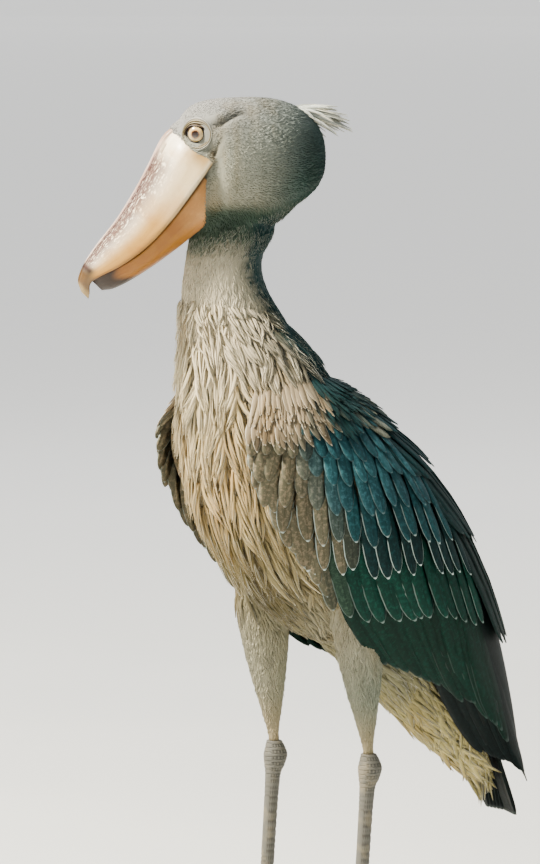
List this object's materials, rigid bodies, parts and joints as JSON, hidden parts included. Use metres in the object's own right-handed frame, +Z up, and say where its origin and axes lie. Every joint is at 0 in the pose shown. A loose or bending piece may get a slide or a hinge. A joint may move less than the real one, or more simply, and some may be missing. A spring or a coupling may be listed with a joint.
{
  "type": "shoebill",
  "caption": "Standing shoebill at life size: a tall grey wading bird with folded wings, and its huge hooked bill held down to one side.",
  "frame": {"origin": "on the ground, at the middle of the bird's box", "axes": "+Z up, the body faces -Y, +X is the bird's left side"},
  "size_m": [0.3202, 0.6102, 1.092],
  "materials": {
    "body_feathers": "soft grey body feathers",
    "wing_feathers": "dark slate feathers, faintly glossy",
    "upper_bill": "satin horn with mauve brown mottling",
    "lower_bill": "satin orange horn",
    "eye": "wet, cream iris with a dark pupil",
    "leg_skin": "scaly grey brown skin",
    "claw": "dark horn"
  },
  "bodies": {
    "root": {"bill_lower": "lower_bill", "bill_upper": "upper_bill", "claw_hind_left": "claw", "claw_hind_right": "claw", "claw_inner_left": "claw", "claw_inner_right": "claw", "claw_middle_left": "claw", "claw_middle_right": "claw", "claw_outer_left": "claw", "claw_outer_right": "claw", "crest": "body_feathers", "eye_left": "eye", "eye_right": "eye", "head": "body_feathers", "neck": "body_feathers", "shank_left": "body_feathers", "shank_right": "body_feathers", "tail": "wing_feathers", "tarsus_left": "leg_skin", "tarsus_right": "leg_skin", "toe_hind_left": "leg_skin", "toe_hind_right": "leg_skin", "toe_inner_left": "leg_skin", "toe_inner_right": "leg_skin", "toe_middle_left": "leg_skin", "toe_middle_right": "leg_skin", "toe_outer_left": "leg_skin", "toe_outer_right": "leg_skin", "torso": "body_feathers", "wing_left": "wing_feathers", "wing_right": "wing_feathers"}
  },
  "joints": []
}
